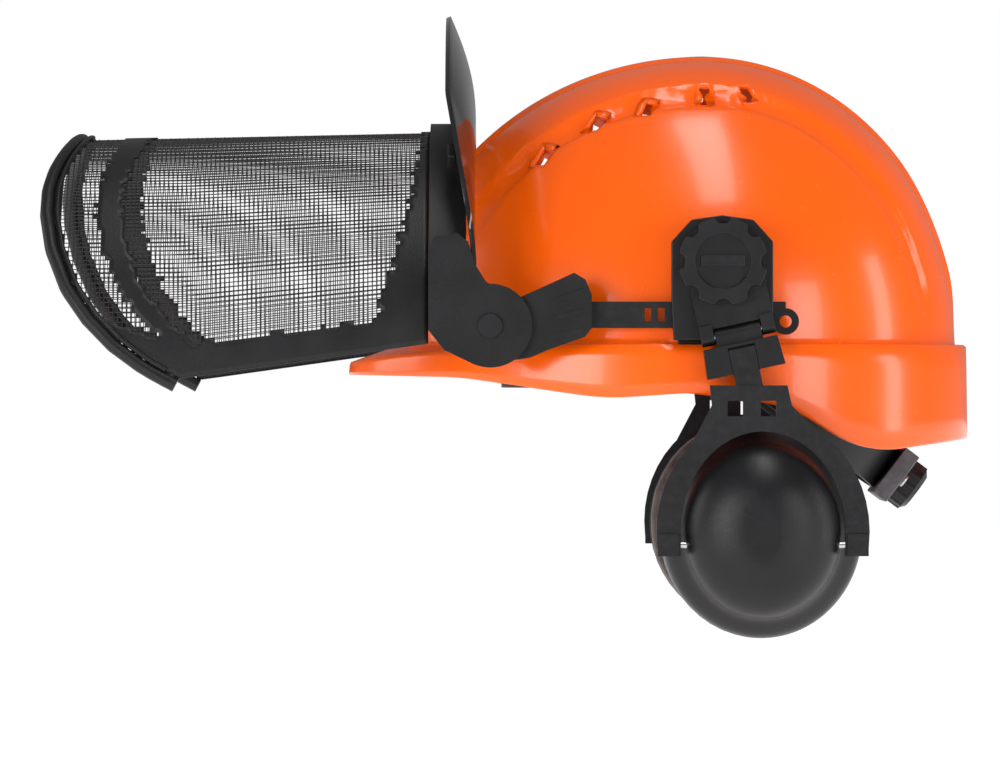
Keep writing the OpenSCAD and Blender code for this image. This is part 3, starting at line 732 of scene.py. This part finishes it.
def build_nape_pad(sizes):
    """The pad inside the nape strap, in the strap's own sloping frame."""
    slope = Matrix.Rotation(math.radians(-sizes.nape_drop), 4, "X")
    start = NAPE_START * MM

    def place(s, t):
        turn = math.radians(NAPE_FROM + NAPE_SWEEP * s)
        point = Vector((NAPE_HALF[0] * math.cos(turn), NAPE_HALF[1] * math.sin(turn),
                        -NAPE_H / 2 + NAPE_H * t)) * MM
        return slope @ point + start
    return build_pad("nape_pad", "nape_pad_soft", 30, 8, place, NAPE_PAD_T * MM)


# ---- Sizes and colours ----------------------------------------------------

def length(label, text, default):
    return bpy.props.FloatProperty(name=label, description=text, default=default, min=0)


def colour(label, text, default):
    return bpy.props.FloatVectorProperty(
        name=label, description=text, default=default, size=3, min=0, max=1, subtype="COLOR")


class HelmetSizes(bpy.types.PropertyGroup):
    ledge_z: length("Ledge height", "Height of the shell's ledge, in mm", 22)
    groove: length("Groove", "Depth of the crown grooves, in mm", 1.9)
    ridge: length("Ridge", "Height of the crown ridge, in mm", 1.6)
    pivot_fwd: length("Pivot ahead", "Visor pivot ahead of the origin, in mm", 104)
    pivot_z: length("Pivot height", "Height of the visor pivot, in mm", 30)
    frame_half_w: length("Frame half width", "Half width of the visor frame, in mm", 113)
    frame_reach: length("Frame reach", "Reach of the visor frame, in mm", 96)
    screen_half_w: length("Screen half width", "Half width of the screen, in mm", 108.6)
    screen_reach: length("Screen reach", "Reach of the screen, in mm", 91.6)
    shield_reach: length("Shield reach", "Reach of the brim shield, in mm", 146)
    screen_wires: length("Wires", "Lengthwise wires in the screen", 150)
    wire_pitch: length("Wire pitch", "Spacing of the crosswise wires, in mm", 2.1)
    wire_d: length("Wire diameter", "Diameter of a wire, in mm", 0.46)
    bead_r: length("Bead radius", "Radius of the rim bead, in mm", 3.2)
    band_half_w: length("Headband half width", "Half width of the headband, in mm", 78)
    band_half_l: length("Headband half length", "Half length of the headband, in mm", 99)
    nape_drop: length("Nape slope", "Slope of the nape strap, in degrees", 37)


class HelmetColours(bpy.types.PropertyGroup):
    shell: colour("Shell", "Orange of the shell", (0.98, 0.115, 0.0))
    black: colour("Black", "Moulded black parts", (0.0065, 0.0065, 0.0075))
    cup: colour("Cup", "Ear cups", (0.005, 0.005, 0.006))
    grey: colour("Grey", "Adjuster housing", (0.09, 0.09, 0.1))
    cushion: colour("Cushion", "Cushions and pads", (0.032, 0.019, 0.015))
    webbing: colour("Webbing", "Crown straps", (0.06, 0.06, 0.065))
    foam: colour("Foam", "Foam in the cups", (0.08, 0.08, 0.085))
    steel: colour("Steel", "Pins and rivets", (0.5, 0.5, 0.52))


# ---- Operators ------------------------------------------------------------

class HELMET_OT_finishes(bpy.types.Operator):
    """Make the materials"""
    bl_idname = "helmet.finishes"
    bl_label = "Finishes"

    def execute(self, context):
        make_materials(context.scene.helmet_colours)
        return {"FINISHED"}


class HELMET_OT_shell(bpy.types.Operator):
    """Build the vented shell"""
    bl_idname = "helmet.shell"
    bl_label = "Shell"

    def execute(self, context):
        build_shell(context.scene.helmet_sizes)
        return {"FINISHED"}


class HELMET_OT_visor(bpy.types.Operator):
    """Build the visor's screen, borders, rim and brim shield"""
    bl_idname = "helmet.visor"
    bl_label = "Visor"

    def execute(self, context):
        sizes = context.scene.helmet_sizes
        build_screen(sizes)
        build_borders(sizes)
        build_rim(sizes)
        build_shield(sizes)
        rounded("visor_frame", 0.9)
        rounded("shield_clips", 1.0)
        rounded("pivot_pins", 0.5)
        return {"FINISHED"}


class HELMET_OT_carriers(bpy.types.Operator):
    """Build the straps, brackets and adapters on both sides"""
    bl_idname = "helmet.carriers"
    bl_label = "Carriers"

    def execute(self, context):
        for name in SIDES:
            rounded(name + "_strap", 0.4)
            rounded(name + "_bracket", 0.8)
            rounded(name + "_adapter", 1.0)
        return {"FINISHED"}


class HELMET_OT_muffs(bpy.types.Operator):
    """Build the ear muffs and their arms"""
    bl_idname = "helmet.muffs"
    bl_label = "Ear muffs"

    def execute(self, context):
        for name in SIDES:
            for part in ("knob", "arm", "block", "yoke"):
                rounded(f"{name}_{part}", 0.9)
            for part in ("hinge_pin", "cup_pins", "back_plate"):
                rounded(f"{name}_{part}", 0.3, 2)
            cup = smooth_copy(name + "_cup", 2, 50)
            cup.data.shade_smooth()
            finish_piece(cup, name + "_cup")
            build_cushion(name)
            build_foam(name)
        return {"FINISHED"}


class HELMET_OT_harness(bpy.types.Operator):
    """Build the head harness and its adjuster"""
    bl_idname = "helmet.harness"
    bl_label = "Harness"

    def execute(self, context):
        sizes = context.scene.helmet_sizes
        for node, width in (("headband", 0.6), ("nape_strap", 0.6), ("strap_anchors", 0.6),
                            ("ratchet_housing", 1.5), ("ratchet_pinion", 0.4), ("ratchet_knob", 0.6),
                            ("nape_rivets", 0.5)):
            rounded(node, width)
        build_sweatband()
        build_crown_straps(sizes)
        build_crown_pad()
        build_nape_pad(sizes)
        return {"FINISHED"}


# Metres, but for the camera's sensor in mm
FLOOR_HALF = 6
FLOOR_Z = -0.2
LIGHT_TARGET = Vector((0, 0, 0.03))
SOFT_LIGHT = 0.26    # how strongly the pale surroundings light the helmet
CAMERA_DISTANCE = 3.0
CAMERA_Y = -0.0996
VIEW_WIDTH = 0.47
SENSOR = 36


class HELMET_OT_stage(bpy.types.Operator):
    """Make the floor, the lights and the camera"""
    bl_idname = "helmet.stage"
    bl_label = "Stage"

    def execute(self, context):
        scene = context.scene
        bm = bmesh.new()
        bmesh.ops.create_grid(bm, x_segments=8, y_segments=8, size=FLOOR_HALF)
        floor = object_from(bm, "floor")
        floor.data.transform(Matrix.Translation((0, 0, FLOOR_Z)))
        paper = Shade("pale_floor", (0.9, 0.9, 0.9), 0.8,
                      Emission_Color=(1, 1, 1, 1), Emission_Strength=0.8)
        floor.data.materials.append(paper.material)
        lights = (
            ("key", (1.5, -1.2, 0.25), (0.8, 0.6), 13),
            ("fill", (1.5, 1.3, 0.3), (0.5, 0.8), 8),
            ("top", (0.6, 0.1, 1.7), (0.4, 1.4), 13),
            ("rear", (0.3, 1.8, 0.2), (0.3, 1.2), 7),
            ("front", (-0.2, -1.9, 0.5), (0.9, 0.9), 7),
        )
        for name, place, size, power in lights:
            data = bpy.data.lights.new(name, "AREA")
            data.shape = "RECTANGLE"
            data.size, data.size_y = size
            data.energy = power
            lamp = linked(data, name)
            lamp.location = place
            aim = LIGHT_TARGET - Vector(place)
            lamp.rotation_euler = aim.to_track_quat("-Z", "Y").to_euler()
        world = bpy.data.worlds.new("studio")
        world.use_nodes = True
        tree = world.node_tree
        background = tree.nodes["Background"]
        background.inputs["Color"].default_value = (1, 1, 1, 1)
        paths = tree.nodes.new("ShaderNodeLightPath")
        level = tree.nodes.new("ShaderNodeMapRange")
        level.inputs["To Min"].default_value = SOFT_LIGHT
        level.inputs["To Max"].default_value = 1.0
        tree.links.new(paths.outputs["Is Camera Ray"], level.inputs["Value"])
        tree.links.new(level.outputs["Result"], background.inputs["Strength"])
        scene.world = world
        scene.view_settings.view_transform = "Standard"
        data = bpy.data.cameras.new("camera")
        data.sensor_width = SENSOR
        data.lens = SENSOR * CAMERA_DISTANCE / VIEW_WIDTH
        camera = linked(data, "camera")
        camera.location = (CAMERA_DISTANCE, CAMERA_Y, 0)
        camera.rotation_euler = (math.radians(90), 0, math.radians(90))
        scene.camera = camera
        return {"FINISHED"}


class HELMET_PT_panel(bpy.types.Panel):
    """Lists the helmet's operators"""
    bl_idname = "HELMET_PT_panel"
    bl_label = "Safety helmet"
    bl_space_type = "VIEW_3D"
    bl_region_type = "UI"
    bl_category = "Helmet"

    def draw(self, context):
        for operator in OPERATORS:
            self.layout.operator(operator.bl_idname)


OPERATORS = (HELMET_OT_finishes, HELMET_OT_stage, HELMET_OT_shell, HELMET_OT_visor,
             HELMET_OT_carriers, HELMET_OT_muffs, HELMET_OT_harness)
CLASSES = (HelmetSizes, HelmetColours, *OPERATORS, HELMET_PT_panel)


def register():
    for cls in CLASSES:
        bpy.utils.register_class(cls)
    bpy.types.Scene.helmet_sizes = bpy.props.PointerProperty(type=HelmetSizes)
    bpy.types.Scene.helmet_colours = bpy.props.PointerProperty(type=HelmetColours)


def unregister():
    del bpy.types.Scene.helmet_colours
    del bpy.types.Scene.helmet_sizes
    for cls in reversed(CLASSES):
        bpy.utils.unregister_class(cls)


def main():
    register()
    for operator in OPERATORS:
        group, name = operator.bl_idname.split(".")
        getattr(getattr(bpy.ops, group), name)()


if __name__ == "__main__":
    main()
